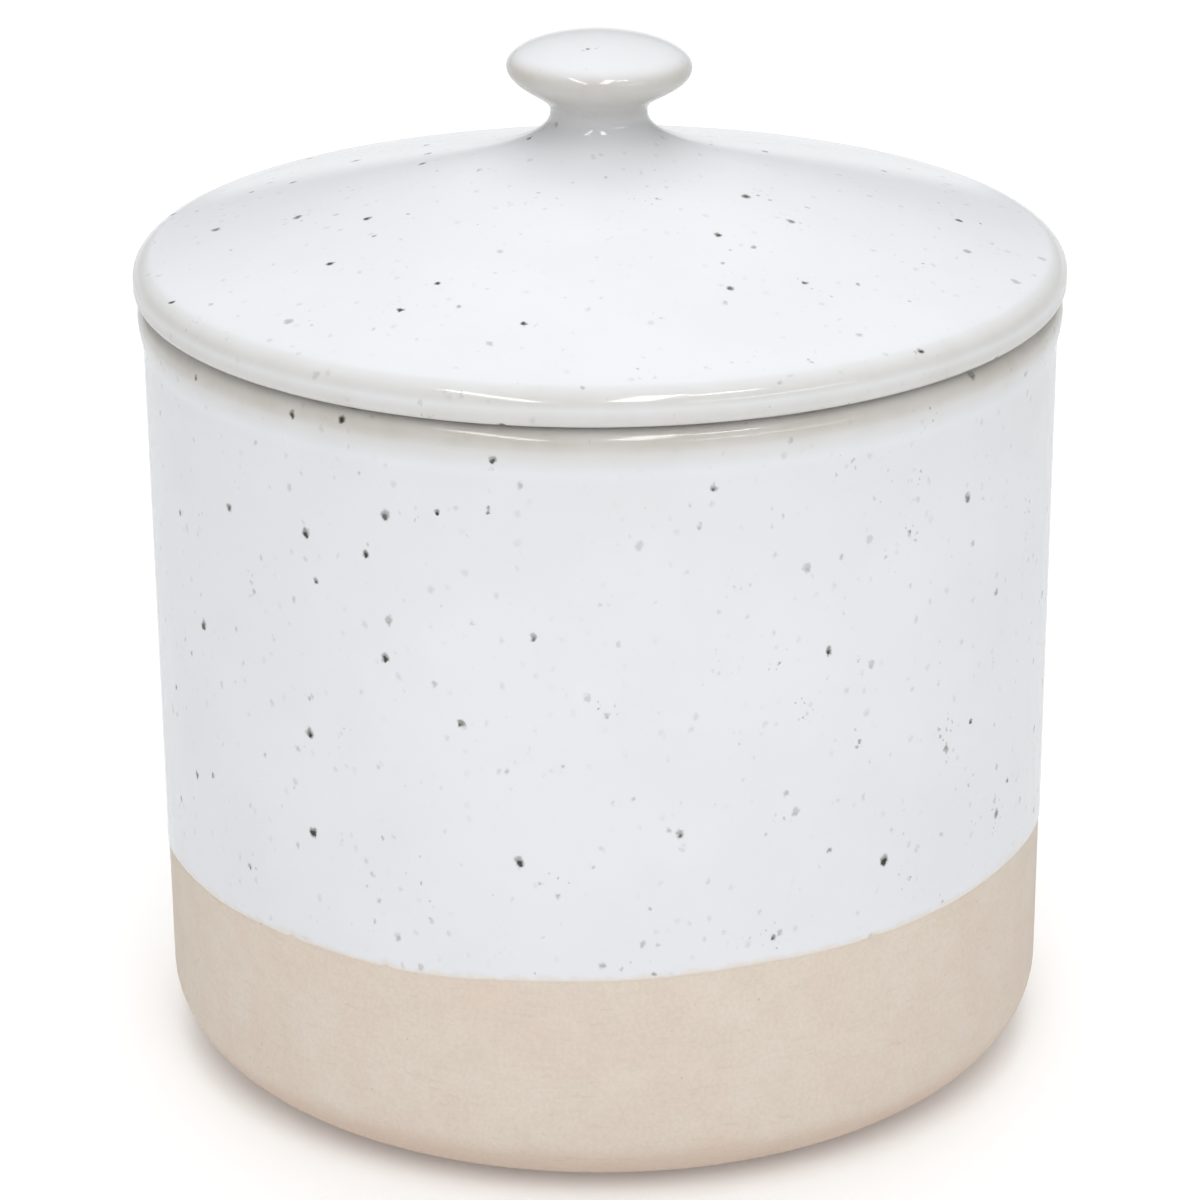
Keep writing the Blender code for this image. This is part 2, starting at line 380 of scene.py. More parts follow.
def pot_rows(settings):
    """Radii, heights, glaze depths and heights above the glaze line of the pot's rows.

    The rows run from the middle of the floor, up the inside, over the rim, down the wall and under the
    foot.
    """
    top, rim = POT_TOP.z, POT_TOP.x
    mouth = settings.wall_top - settings.wall
    roll_foot = (rim, top - settings.rim_roll)
    flare_foot = (settings.wall_top, top - settings.rim_flare)
    flare_reach = 0.4 * (settings.rim_flare - settings.rim_roll)
    inside = rounded(
        [
            (0.020, settings.floor, 0.0),
            (settings.wall_foot - settings.wall, settings.floor, settings.inside_corner),
            (mouth, top, settings.rim_roll / 2),
            (rim, top, settings.rim_roll),
            (*roll_foot, 0.0),
        ],
        steps=11,
    )[:-2]
    inside += sweep(
        roll_foot,
        (rim, roll_foot[1] - flare_reach),
        (settings.wall_top, flare_foot[1] + flare_reach),
        flare_foot,
        10,
    )
    corner = settings.wall_foot - settings.glaze_thickness - settings.foot_radius
    ring = settings.foot_radius - settings.foot_ring
    foot = arc((settings.foot_radius, settings.foot_corner), (corner, settings.foot_corner), 0, -90, 14)
    soft_edge = 0.0004
    foot += rounded(
        [
            (settings.foot_radius - soft_edge, 0.0, 0.0),
            (ring, 0.0, soft_edge),
            (ring - 2 * settings.foot_recess, settings.foot_recess, 2 * soft_edge),
            (0.012, settings.foot_recess, 0.0),
        ],
        steps=4,
    )

    # Rows of the wall, by their height above the glaze line. The near ones follow it all the way, and the
    # far ones don't follow it at all.
    near, far = 0.004, 0.015
    edge = [settings.glaze_edge * (1 - cos(a)) for a in np.linspace(pi / 2, 0, 7)]
    over = [0.046, 0.038, 0.030, 0.024, 0.018, 0.013, 0.009, 0.006, 0.004, 0.0026, 0.0017, 0.0010]
    under = [0.0002, 0.0006, 0.0013, 0.0026, 0.005, 0.009, 0.014]
    above = np.array(over + edge + [-drop for drop in under])
    turns = np.linspace(0, 2 * pi, SEGMENTS, endpoint=False)
    follow = np.clip(1 - (np.abs(above) - near) / (far - near), 0, 1)[:, None]
    line = glaze_line(turns, settings)[None, :]
    wall_height = settings.line_height + above[:, None] + follow * (line - settings.line_height)
    rise = (wall_height - settings.foot_corner) / (flare_foot[1] - settings.foot_corner)
    wall_radius = settings.wall_foot + (settings.wall_top - settings.wall_foot) * rise
    fade = np.clip(1 - above / settings.glaze_edge, 0, 1)
    recess = settings.glaze_thickness * (1 - np.sqrt(1 - fade**2))
    # The glaze gathered in a low bead just above its line.
    bead_share, bead_height, bead_width = 0.25, 0.0012, 0.0008
    bead = bead_share * settings.glaze_thickness * np.exp(-(((above - bead_height) / bead_width) ** 2))
    wall_radius = wall_radius + (bead - recess)[:, None]

    ones = np.ones(SEGMENTS)
    radius = np.vstack([np.outer([r for r, _ in inside], ones), wall_radius])
    radius = np.vstack([radius, np.outer([r for r, _ in foot], ones)])
    height = np.vstack([np.outer([z for _, z in inside], ones), wall_height])
    height = np.vstack([height, np.outer([z for _, z in foot], ones)])
    over_line = np.concatenate((np.full(len(inside), 1.0), above, np.full(len(foot), -1.0)))
    depth = glaze_depth(np.column_stack((radius[:, 0], height[:, 0])))
    # The glaze is thin at the rim and reaches its full depth lower down: partly thin glaze where the dip
    # ran off the rim, partly painted shade under the lid's edge.
    depth[len(inside) :] = PLAIN_DEPTH
    under_lid_thin_and_shade = settings.thin_and_shade_rim * np.exp(-(top - height[:, 0]) / settings.thin_and_shade_reach)
    outside = radius[:, 0] > mouth + settings.rim_roll / 2
    depth = np.clip(np.where(outside, depth - under_lid_thin_and_shade, depth), 0, 1)
    return radius, height, depth, np.outer(over_line, ones)


def lid_outline(settings, neck, mouth):
    """From the neck, down the sweep, round the edge, along the underside and up under the dome."""
    rim = LID_TOP.x
    upper = arc(
        (rim - settings.edge_round, SEAT + settings.edge_height - settings.edge_drop),
        (settings.edge_round, settings.edge_drop),
        78,
        0,
        16,
    )
    ring_out = mouth - settings.ring_clearance
    ring_in = ring_out - settings.ring_width
    land = SEAT + settings.land_rise
    dome_foot = (BELL_TOP.x - settings.land, land)
    dome_top = CROWN - settings.dome_wall - KNOB_TOP.x / 2

    # The sweep leaves the neck nearly upright and comes to the edge on a shallow slope.
    steep, shallow = (0.0060, CROWN - 0.0055), (0.0260, CROWN - 0.0084)
    outline = [(neck / 2, NECK_JOINT), (neck, NECK_JOINT), (neck, CROWN)]
    outline += sweep((neck, CROWN), steep, shallow, upper[0], CROWN_STEPS)
    outline += upper[1:]
    outline += arc(
        (rim - settings.edge_tuck, SEAT + settings.edge_under),
        (settings.edge_tuck, settings.edge_under),
        0,
        -80,
        10,
    )
    outline += rounded(
        [
            (rim - settings.edge_tuck, SEAT, 0.0),
            (ring_out, SEAT, 0.0006),
            (ring_out, LID_LOW.z, settings.ring_round),
            (ring_in, LID_LOW.z, settings.ring_round),
            (ring_in, land, 0.0009),
            (*dome_foot, 0.0012),
            (dome_foot[0] - settings.land / 2, land + settings.land / 4, 0.0),
        ],
        steps=6,
    )[1:-1]
    outline += sweep(
        outline[-1],
        (dome_foot[0] - settings.land, land + settings.land / 2),
        (dome_foot[0] / 3, dome_top),
        (0.001, dome_top),
        16,
    )
    return outline


def knob_outline(settings):
    """From the top of the crown, over the widest ring and in under it to the neck."""
    widest = KNOB_HIGH - settings.crown
    outline = arc((0.0, widest), (KNOB_TOP.x, settings.crown), 88, 0, 30)
    outline += sweep(
        (KNOB_TOP.x, widest),
        (KNOB_TOP.x, widest - settings.under_round),
        (settings.neck, KNOB_LOW + settings.neck_curl),
        (settings.neck, KNOB_LOW),
        26,
    )
    return outline + [(settings.neck, NECK_JOINT), (settings.neck / 2, NECK_JOINT)]


def bell_outline(settings, top):
    """Down the outside, round the lip, up the inside and across the luted end at the top."""
    outer, inner = BELL_TOP.x, BELL_TOP.x - settings.wall
    round_lip, fillet = settings.wall / 2, settings.fillet
    lip_centre = (settings.lip_radius - round_lip, BELL_LIP.z + round_lip)
    outline = arc((outer + fillet, top - fillet), (fillet, fillet), 90, 180, 8)
    drops = (0.0004, 0.0015, 0.006, 0.014, 0.026, 0.040, 0.055, 0.066)
    span = top - fillet - lip_centre[1]
    taper = (settings.lip_radius - outer) / span
    outline += [(outer + taper * drop, top - fillet - drop) for drop in drops]
    outline += arc(lip_centre, (round_lip, round_lip), 0, -180, 20)
    outline += [(inner + taper * drop, top - fillet - drop) for drop in drops[::-1]]
    outline += arc((inner - fillet, top - fillet), (fillet, fillet), 0, 90, 8)
    return outline


# ---------------------------------------------------------------------------------------------- shaders


def add(tree, kind, links=None, **options):
    """A node of that kind, with its options, and its inputs set or linked by name or number."""
    node = tree.nodes.new(kind)
    for name, value in options.items():
        setattr(node, name, value)
    for key, value in (links or {}).items():
        if isinstance(value, bpy.types.NodeSocket):
            tree.links.new(value, node.inputs[key])
        else:
            node.inputs[key].default_value = value
    return node


def combine(tree, operation, *values):
    """The output of a Math node on those values or sockets."""
    return add(tree, "ShaderNodeMath", dict(enumerate(values)), operation=operation).outputs[0]


def times(tree, value, factor):
    """A value or socket multiplied by another."""
    return combine(tree, "MULTIPLY", value, factor)


def remap(tree, value, low, high, to_low=0.0, to_high=1.0):
    """A value eased from one range to another."""
    ends = {"Value": value, "From Min": low, "From Max": high, "To Min": to_low, "To Max": to_high}
    return add(tree, "ShaderNodeMapRange", ends, interpolation_type="SMOOTHSTEP").outputs[0]


def opaque(colour):
    """A colour with its alpha."""
    return (*colour, 1.0)


def blend(tree, factor, under, over):
    """A setting's colour laid over another, or over a socket's colour, by a factor."""
    below = under if isinstance(under, bpy.types.NodeSocket) else opaque(under)
    links = {"Factor": factor, MIX_UNDER: below, MIX_OVER: opaque(over)}
    return add(tree, "ShaderNodeMix", links, data_type="RGBA").outputs[MIX_RESULT]


def noise(tree, place, size, detail=2.0, roughness=0.5):
    """The outputs of a 3D noise whose lumps are about that size across. The size may be a socket."""
    scale = combine(tree, "DIVIDE", 1.0, size) if isinstance(size, bpy.types.NodeSocket) else 1 / size
    links = {"Vector": place, "Scale": scale, "Detail": detail, "Roughness": roughness}
    return add(tree, "ShaderNodeTexNoise", links).outputs


def stretch(tree, place, factors):
    """A place with its axes scaled, so that a pattern read there is drawn out or pressed flat."""
    return add(tree, "ShaderNodeVectorMath", {0: place, 1: factors}, operation="MULTIPLY").outputs[0]


def shifted(tree, place, offset):
    """A place moved by an offset, so that a pattern read there shows another part of itself."""
    return add(tree, "ShaderNodeVectorMath", {0: place, 1: offset}).outputs[0]


def group(name, inputs, outputs):
    """An empty shader node group with those sockets, and its input and output nodes."""
    tree = bpy.data.node_groups.new(name, "ShaderNodeTree")
    for socket, kind, default in inputs:
        made = tree.interface.new_socket(socket, in_out="INPUT", socket_type=kind)
        if default is not None:
            made.default_value = default
    for socket, kind in outputs:
        tree.interface.new_socket(socket, in_out="OUTPUT", socket_type=kind)
    return tree, tree.nodes.new("NodeGroupInput").outputs, tree.nodes.new("NodeGroupOutput").inputs


def place_group(tree, name, links):
    """The outputs of a shader node group placed in a material, with its own values."""
    return add(tree, "ShaderNodeGroup", links, node_tree=bpy.data.node_groups[name]).outputs


def specks(tree, place, spacing, size, least):
    """Scattered round specks: each one's own chance, and the distance from its centre over its radius.

    A speck's radius is anything from least times size up to size.
    """
    cells = add(
        tree,
        "ShaderNodeTexVoronoi",
        {"Vector": place, "Scale": combine(tree, "DIVIDE", 1.0, spacing), "Randomness": 1.0},
        voronoi_dimensions="3D",
        feature="F1",
    )
    chance = add(tree, "ShaderNodeSeparateColor", {0: cells.outputs["Color"]}).outputs
    away = times(tree, cells.outputs["Distance"], spacing)
    share = combine(tree, "MULTIPLY_ADD", chance[0], 1 - least, least)
    return chance[1], combine(tree, "DIVIDE", away, times(tree, size, share))


def make_iron_specks():
    """Iron specks in the glaze: black hearts in olive blooms, small grey ones and faint ash."""
    tree, given, result = group(
        "iron_specks",
        (
            ("Place", "NodeSocketVector", None),
            ("Spacing", "NodeSocketFloat", 0.0058),
            ("Size", "NodeSocketFloat", 0.00075),
        ),
        (
            ("Heart", "NodeSocketFloat"),
            ("Bloom", "NodeSocketFloat"),
            ("Ash", "NodeSocketFloat"),
            ("Pit", "NodeSocketFloat"),
        ),
    )
    # The outlines are ragged at the scale of a grain, and a little drawn out downwards by the melt.
    ragged = noise(tree, given["Place"], 0.0008, 2.0)
    shift = shifted(tree, ragged["Color"], (-0.5, -0.5, -0.5))
    moved = shifted(tree, given["Place"], stretch(tree, shift, (0.0009, 0.0009, 0.0009)))
    drawn = stretch(tree, moved, (1.0, 1.0, 0.80))

    # Each bloom's heart is set towards its lower side: painted shade, which leaves the speck paler at its
    # top and darker at its bottom as if lit from above.
    chance, reach = specks(tree, drawn, given["Spacing"], given["Size"], 0.55)
    bloom = times(tree, remap(tree, reach, 1.0, 0.50), remap(tree, chance, 0.05, 0.65, 0.22, 0.80))
    lower = shifted(tree, drawn, (0.0, 0.0, 0.00017))
    _, shaded_low_reach = specks(tree, lower, given["Spacing"], given["Size"], 0.55)
    heart = times(tree, remap(tree, shaded_low_reach, 0.60, 0.30), remap(tree, chance, 0.15, 0.50, 0.0, 1.0))

    # Crumbs lie round a few of the specks.
    fine = times(tree, given["Spacing"], 0.20)
    _, crumb = specks(tree, drawn, fine, times(tree, given["Size"], 0.38), 0.5)
    near = times(tree, remap(tree, reach, 4.5, 1.5), remap(tree, chance, 0.70, 1.0))
    crumbs = times(tree, remap(tree, crumb, 1.0, 0.5), near)
    bloom = combine(tree, "MAXIMUM", bloom, times(tree, crumbs, 0.55))

    # Lone grey specks, and the faint ash that never reached the surface.
    lone = times(tree, given["Spacing"], 0.70)
    grey_size = times(tree, given["Size"], 0.74)
    aside = shifted(tree, drawn, (0.31, 0.17, 0.53))
    grey_chance, grey = specks(tree, aside, lone, grey_size, 0.4)
    grey = times(tree, remap(tree, grey, 1.0, 0.3), remap(tree, grey_chance, 0.1, 1.0, 0.12, 0.60))
    ash_gap = times(tree, given["Spacing"], 0.42)
    ash_size = times(tree, given["Size"], 0.78)
    elsewhere = shifted(tree, drawn, (0.77, 0.41, 0.23))
    ash_chance, ash = specks(tree, elsewhere, ash_gap, ash_size, 0.35)
    ash = times(tree, remap(tree, ash, 1.0, 0.2), remap(tree, ash_chance, 0.1, 1.0, 0.05, 0.30))

    tree.links.new(heart, result["Heart"])
    tree.links.new(bloom, result["Bloom"])
    tree.links.new(combine(tree, "MAXIMUM", ash, grey), result["Ash"])
    tree.links.new(combine(tree, "MAXIMUM", heart, times(tree, bloom, 0.5)), result["Pit"])


def make_glaze_body():
    """The glaze itself: faint clouds in its white, and the soft dimples of its surface."""
    tree, given, result = group(
        "glaze_body",
        (("Place", "NodeSocketVector", None), ("Cloud size", "NodeSocketFloat", 0.022)),
        (("Cloud", "NodeSocketFloat"), ("Dimple", "NodeSocketFloat"), ("Bloom", "NodeSocketFloat")),
    )
    wide = noise(tree, given["Place"], given["Cloud size"], 3.0, 0.6)["Fac"]
    tree.links.new(remap(tree, wide, 0.35, 0.68), result["Cloud"])
    dimple = noise(tree, given["Place"], 0.0032, 2.0)["Fac"]
    fine = noise(tree, given["Place"], 0.0009, 1.0)["Fac"]
    tree.links.new(combine(tree, "MULTIPLY_ADD", fine, 0.15, dimple), result["Dimple"])
    bloom = noise(tree, given["Place"], 0.0110, 4.0, 0.65)["Fac"]
    tree.links.new(remap(tree, bloom, 0.30, 0.72), result["Bloom"])


def make_thin_glaze():
    """Where glaze lies thin: over tight edges, by its depth, and just above the line where it ends. Some
    of the depth is painted shade, under the lid's edge and round the knob.
    """
    tree, given, result = group(
        "thin_glaze_and_shade",
        (
            ("Place", "NodeSocketVector", None),
            ("Depth", "NodeSocketFloat", 0.5),
            ("Above line", "NodeSocketFloat", 1.0),
            ("Fringe", "NodeSocketFloat", 0.0013),
        ),
        (("Thin", "NodeSocketFloat"), ("Fringe", "NodeSocketFloat")),
    )
    patchy = noise(tree, given["Place"], 0.0070, 3.0, 0.6)["Fac"]
    thin = remap(tree, given["Depth"], 0.50, 0.06)
    thin = times(tree, thin, remap(tree, patchy, 0.25, 0.75, 0.78, 1.0))
    tree.links.new(thin, result["Thin"])
    ragged = noise(tree, given["Place"], 0.0016, 3.0, 0.6)["Fac"]
    reach = times(tree, given["Fringe"], remap(tree, ragged, 0.3, 0.7, 0.40, 1.15))
    fringe = remap(tree, combine(tree, "DIVIDE", given["Above line"], reach), 1.0, 0.0)
    tree.links.new(fringe, result["Fringe"])


def make_clay_grain():
    """Bare fired stoneware: warm patches, fine sand, scattered grit and the marks of a sponge."""
    tree, given, result = group(
        "clay_grain",
        (("Place", "NodeSocketVector", None), ("Grain", "NodeSocketFloat", 0.00055)),
        (
            ("Patch", "NodeSocketFloat"),
            ("Blush", "NodeSocketFloat"),
            ("Sand", "NodeSocketFloat"),
            ("Grit", "NodeSocketFloat"),
            ("Relief", "NodeSocketFloat"),
        ),
    )
    patch = noise(tree, given["Place"], 0.0055, 4.0, 0.6)["Fac"]
    tree.links.new(remap(tree, patch, 0.30, 0.72), result["Patch"])
    blush = noise(tree, shifted(tree, given["Place"], (0.4, 0.9, 0.2)), 0.010, 2.0)["Fac"]
    tree.links.new(remap(tree, blush, 0.42, 0.70), result["Blush"])
    sand = noise(tree, given["Place"], given["Grain"], 3.0, 0.7)["Fac"]
    tree.links.new(remap(tree, sand, 0.25, 0.75), result["Sand"])
    # Wiping with a sponge leaves fine level marks.
    wiped = stretch(tree, given["Place"], (1.0, 1.0, 7.0))
    marks = noise(tree, wiped, 0.0040, 3.0, 0.6)["Fac"]
    grit_chance, grit = specks(tree, given["Place"], 0.0024, 0.00022, 0.4)
    grit = times(tree, remap(tree, grit, 1.0, 0.5), remap(tree, grit_chance, 0.2, 1.0, 0.1, 0.8))
    dust_chance, dust = specks(tree, wiped, 0.0048, 0.00050, 0.4)
    dust = times(tree, remap(tree, dust, 1.0, 0.4), remap(tree, dust_chance, 0.3, 1.0, 0.0, 0.28))
    streaks = remap(tree, marks, 0.56, 0.74, 0.0, 0.26)
    blemish = combine(tree, "MAXIMUM", combine(tree, "MAXIMUM", grit, dust), streaks)
    tree.links.new(blemish, result["Grit"])
    relief = combine(tree, "MULTIPLY_ADD", marks, 0.9, sand)
    tree.links.new(combine(tree, "SUBTRACT", relief, grit), result["Relief"])


def make_shader_groups():
    """The effects that more than one material uses, each made once."""
    for name, make in (
        ("iron_specks", make_iron_specks),
        ("glaze_body", make_glaze_body),
        ("thin_glaze_and_shade", make_thin_glaze),
        ("clay_grain", make_clay_grain),
    ):
        if name not in bpy.data.node_groups:
            make()


# ---------------------------------------------------------------------------------------------- materials


def attribute(tree, name):
    """A value that the mesh holds at its points."""
    return add(tree, "ShaderNodeAttribute", attribute_name=name, attribute_type="GEOMETRY").outputs["Fac"]


def glaze(name, settings, offset, spacing, size, dipped):
    """Glossy white glaze with iron specks. A dipped piece also shows the fringe above its glaze line."""
    make_shader_groups()
    material = bpy.data.materials.new(name)
    material.use_nodes = True
    tree = material.node_tree
    shader = tree.nodes["Principled BSDF"]
    place = add(tree, "ShaderNodeTexCoord").outputs["Object"]
    here = shifted(tree, place, offset)
    body = place_group(tree, "glaze_body", {"Place": here, "Cloud size": 0.022})
    iron = place_group(tree, "iron_specks", {"Place": here, "Spacing": spacing, "Size": size})
    depth = {"Place": here, "Depth": attribute(tree, "glaze_depth")}
    if dipped:
        depth["Above line"] = attribute(tree, "above_line")
    thin = place_group(tree, "thin_glaze_and_shade", depth)

    colour = blend(tree, times(tree, body["Cloud"], 0.55), settings.white, settings.cloud)
    # The thin glaze colour, laid on by depth, is partly painted shade under the lid's edge and round the
    # knob.
    colour = blend(tree, times(tree, thin["Thin"], 0.95), colour, settings.thin)
    if dipped:
        colour = blend(tree, times(tree, thin["Fringe"], 0.80), colour, settings.clay_pale)
    colour = blend(tree, iron["Ash"], colour, settings.ash)
    colour = blend(tree, iron["Bloom"], colour, settings.bloom)
    colour = blend(tree, iron["Heart"], colour, settings.iron)
    tree.links.new(colour, shader.inputs["Base Color"])

    smoother, rougher = settings.roughness * 0.8, settings.roughness * 1.35
    rough = remap(tree, body["Bloom"], 0.0, 1.0, smoother, rougher)
    rough = combine(tree, "MULTIPLY_ADD", iron["Heart"], 0.22, rough)
    rough = combine(tree, "MULTIPLY_ADD", thin["Thin"], 0.05, rough)
    tree.links.new(rough, shader.inputs["Roughness"])
    shader.inputs["IOR"].default_value = 1.52

    dimples = times(tree, body["Dimple"], 0.09)
    height = combine(tree, "MULTIPLY_ADD", iron["Pit"], -0.45, dimples)
    bump = add(tree, "ShaderNodeBump", {"Strength": 1.0, "Distance": 0.00006, "Height": height})
    tree.links.new(bump.outputs[0], shader.inputs["Normal"])
    return material


def bare_clay(name, settings):
    """Unglazed stoneware, matt and slightly sandy."""
    if name in bpy.data.materials:
        return bpy.data.materials[name]
    make_shader_groups()
    material = bpy.data.materials.new(name)
    material.use_nodes = True
    tree = material.node_tree
    shader = tree.nodes["Principled BSDF"]
    place = add(tree, "ShaderNodeTexCoord").outputs["Object"]
    grain = place_group(tree, "clay_grain", {"Place": place, "Grain": 0.00055})
    colour = blend(tree, grain["Patch"], settings.clay, settings.clay_pale)
    colour = blend(tree, times(tree, grain["Blush"], 0.55), colour, settings.clay_blush)
    level = add(tree, "ShaderNodeSeparateXYZ", {0: place}).outputs["Z"]
    # Painted shade: the clay darkens towards the bottom of the foot.
    shade_at_foot = remap(tree, level, 0.0085, 0.0045, 0.0, 0.45)
    colour = blend(tree, shade_at_foot, colour, settings.clay_foot_shade)
    sandy = remap(tree, grain["Sand"], 0.0, 1.0, 0.10, 0.0)
    colour = blend(tree, sandy, colour, settings.clay_dark)
    colour = blend(tree, times(tree, grain["Grit"], 0.36), colour, settings.clay_dark)
    tree.links.new(colour, shader.inputs["Base Color"])
    rough = remap(tree, grain["Sand"], 0.0, 1.0, 0.74, 0.90)
    tree.links.new(rough, shader.inputs["Roughness"])
    shader.inputs["Specular IOR Level"].default_value = 0.30
    bump = add(tree, "ShaderNodeBump", {"Strength": 0.55, "Distance": 0.00010, "Height": grain["Relief"]})
    tree.links.new(bump.outputs[0], shader.inputs["Normal"])
    return material


# ---------------------------------------------------------------------------------------------- operators


class CROCK_OT_pot(bpy.types.Operator):
    """Turn the pot, dip it in glaze to the glaze line, and leave its foot bare"""

    bl_idname = "crock.make_pot"
    bl_label = "Pot"

    def execute(self, context):
        """Makes the pot over its CAD node."""
        scene = context.scene
        radius, height, depth, above = pot_rows(scene.crock_pot_settings)
        pot = turned("pot", radius, height, depth, above)
        colours, place = scene.crock_glaze_settings, (0.0, 0.0, 0.0)
        finish = glaze("pot_glaze", colours, place, spacing=0.0050, size=0.00080, dipped=True)
        glazed_and_bare(pot, finish, bare_clay("bare_clay", colours))
        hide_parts("crock_pot")
        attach(pot, "pot")
        return {"FINISHED"}


class CROCK_OT_lid(bpy.types.Operator):
    """Turn the lid with its neck, locating ring and dome, and glaze it all over"""

    bl_idname = "crock.make_lid"
    bl_label = "Lid"

    def execute(self, context):
        """Makes the lid over its CAD node."""
        scene = context.scene
        pot = scene.crock_pot_settings
        neck, mouth = scene.crock_knob_settings.neck, pot.wall_top - pot.wall
        outline = lid_outline(scene.crock_lid_settings, neck, mouth)
        radius, height = even_rows(outline, SEGMENTS)
        # The thin glaze and painted shade round the knob's neck fade out down the lid's sweep. None of it
        # is quite bare.
        least, neck_run = 0.24, 0.0004
        fall = np.clip(CROWN + neck_run - height[:, 0], 0, 1)
        neck_thin_and_shade = np.exp(-fall / NECK_THIN_AND_SHADE_REACH) * (np.arange(len(outline)) < CROWN_STEPS)
        depth = np.clip(glaze_depth(outline), least, PLAIN_DEPTH)
        depth -= (PLAIN_DEPTH - NECK_THIN_AND_SHADE_DEPTH) * neck_thin_and_shade
        lid = turned("lid", radius, height, depth)
        colours, place = scene.crock_glaze_settings, (0.2, 0.1, 0.3)
        finish = glaze("lid_glaze", colours, place, spacing=0.0056, size=0.00086, dipped=False)
        lid.data.materials.append(finish)
        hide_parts("crock_lid")
        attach(lid, "lid")
        return {"FINISHED"}


class CROCK_OT_knob(bpy.types.Operator):
    """Turn the knob, and set it on the lid's neck with the slight lean of a hand-set knob"""

    bl_idname = "crock.make_knob"
    bl_label = "Knob"

    def execute(self, context):
        """Makes the knob over its CAD node."""
        scene = context.scene
        settings = scene.crock_knob_settings
        outline = knob_outline(settings)
        radius, height = even_rows(outline, KNOB_SEGMENTS)
        # The glaze is made thin on the knob's under side, and less so on its neck: partly thin glaze,
        # partly painted shade under the knob and round its neck.
        widest = KNOB_HIGH - settings.crown
        levels = (NECK_JOINT, widest - settings.under_round, widest - settings.under_round / 4, widest)
        under, over = settings.thin_and_shade_under, 0.40
        depth = np.interp(height[:, 0], levels, (NECK_THIN_AND_SHADE_DEPTH, under, under * 1.4, over))
        knob = turned("knob", radius, height, np.minimum(glaze_depth(outline), depth))
        # The lean grows smoothly from the foot of the neck to halfway up.
        middle = Vector((0.0, 0.0, KNOB_LOW))
        for vertex in knob.data.vertices:
            share = min(max((vertex.co.z - KNOB_LOW) / (KNOB_HIGH - KNOB_LOW) * 2.0, 0.0), 1.0)
            lean = Matrix.Rotation(settings.lean * share * share * (3 - 2 * share), 3, "Y")
            vertex.co = middle + lean @ (vertex.co - middle)
        colours, place = scene.crock_glaze_settings, (0.2, 0.1, 0.3)
        finish = glaze("knob_glaze", colours, place, spacing=0.0056, size=0.00066, dipped=False)
        knob.data.materials.append(finish)
        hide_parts("lid_knob")
        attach(knob, "lid")
        return {"FINISHED"}


class CROCK_OT_bell(bpy.types.Operator):
    """Turn the butter bell, lute it under the lid, glaze it and wipe its lip bare"""

    bl_idname = "crock.make_bell"
    bl_label = "Butter bell"

    def execute(self, context):
        """Makes the bell over its CAD node."""
        scene = context.scene
        settings = scene.crock_bell_settings
        outline = bell_outline(settings, SEAT + scene.crock_lid_settings.land_rise)
        turns = np.linspace(0, 2 * pi, SEGMENTS, endpoint=False)
        radius, height = even_rows(outline, SEGMENTS)
        # The sponge that wiped the lip wavered a little on its way round.
        wiped = BELL_LIP.z + settings.wiped + 0.0002 * np.sin(3 * turns) + 0.0001 * np.sin(11 * turns)
        bell = turned("bell", radius, height, glaze_depth(outline, True), height - wiped, closed=True)
        colours, place = scene.crock_glaze_settings, (0.5, 0.4, 0.1)
        finish = glaze("bell_glaze", colours, place, spacing=0.0056, size=0.00076, dipped=True)
        glazed_and_bare(bell, finish, bare_clay("bare_clay", colours))
        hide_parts("butter_bell")
        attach(bell, "lid")
        return {"FINISHED"}


# Each softbox has a bearing, an elevation, a distance, a width, a height and a power. The windows, which
# only show as highlights in the glaze, have a lean as well.
SOFTBOXES = {
    "overhead": (0, 88, 1.6, 1.8, 1.8, 11.4),
    "key_fill": (5, 45, 1.6, 1.2, 1.2, 6.9),
    "front_fill": (0, 60, 1.6, 1.2, 1.2, 3.5),
    "back_fill": (180, 60, 1.6, 1.2, 1.2, 7.0),
    "window_left": (-30, 47, 1.2, 0.09, 0.86, 2.4, 40),
    "window_middle": (13, 50, 1.2, 0.18, 0.60, 3.2, -22),
    "window_right": (39, 53, 1.2, 0.28, 0.09, 0.9, 0),
    "window_low": (42, 20, 1.2, 0.90, 0.07, 1.2, 0),
}


def softbox(name, aim, bearing, elevation, distance, width, height, power, lean=None):
    """A rectangular softbox that faces the crock. Bearing 0 is in front, and it grows to the right.

    One with a lean, in degrees to the left, only shows as a highlight in the glaze. Any other one only
    lights the crock.
    """
    light = bpy.data.lights.new(name, "AREA")
    light.shape = "RECTANGLE"
    light.size = width
    light.size_y = height
    light.energy = power
    lamp = bpy.data.objects.new(name, light)
    lamp.visible_camera = False
    lamp.visible_glossy = lean is not None
    lamp.visible_diffuse = lean is None
    bpy.context.scene.collection.objects.link(lamp)
    a, e = radians(bearing), radians(elevation)
    away = Vector((sin(a) * cos(e), -cos(a) * cos(e), sin(e)))
    lamp.location = aim + away * distance
    upright = away.to_track_quat("Z", "Y").to_matrix()
    lamp.rotation_euler = (upright @ Matrix.Rotation(radians(lean or 0.0), 3, "Z")).to_euler()


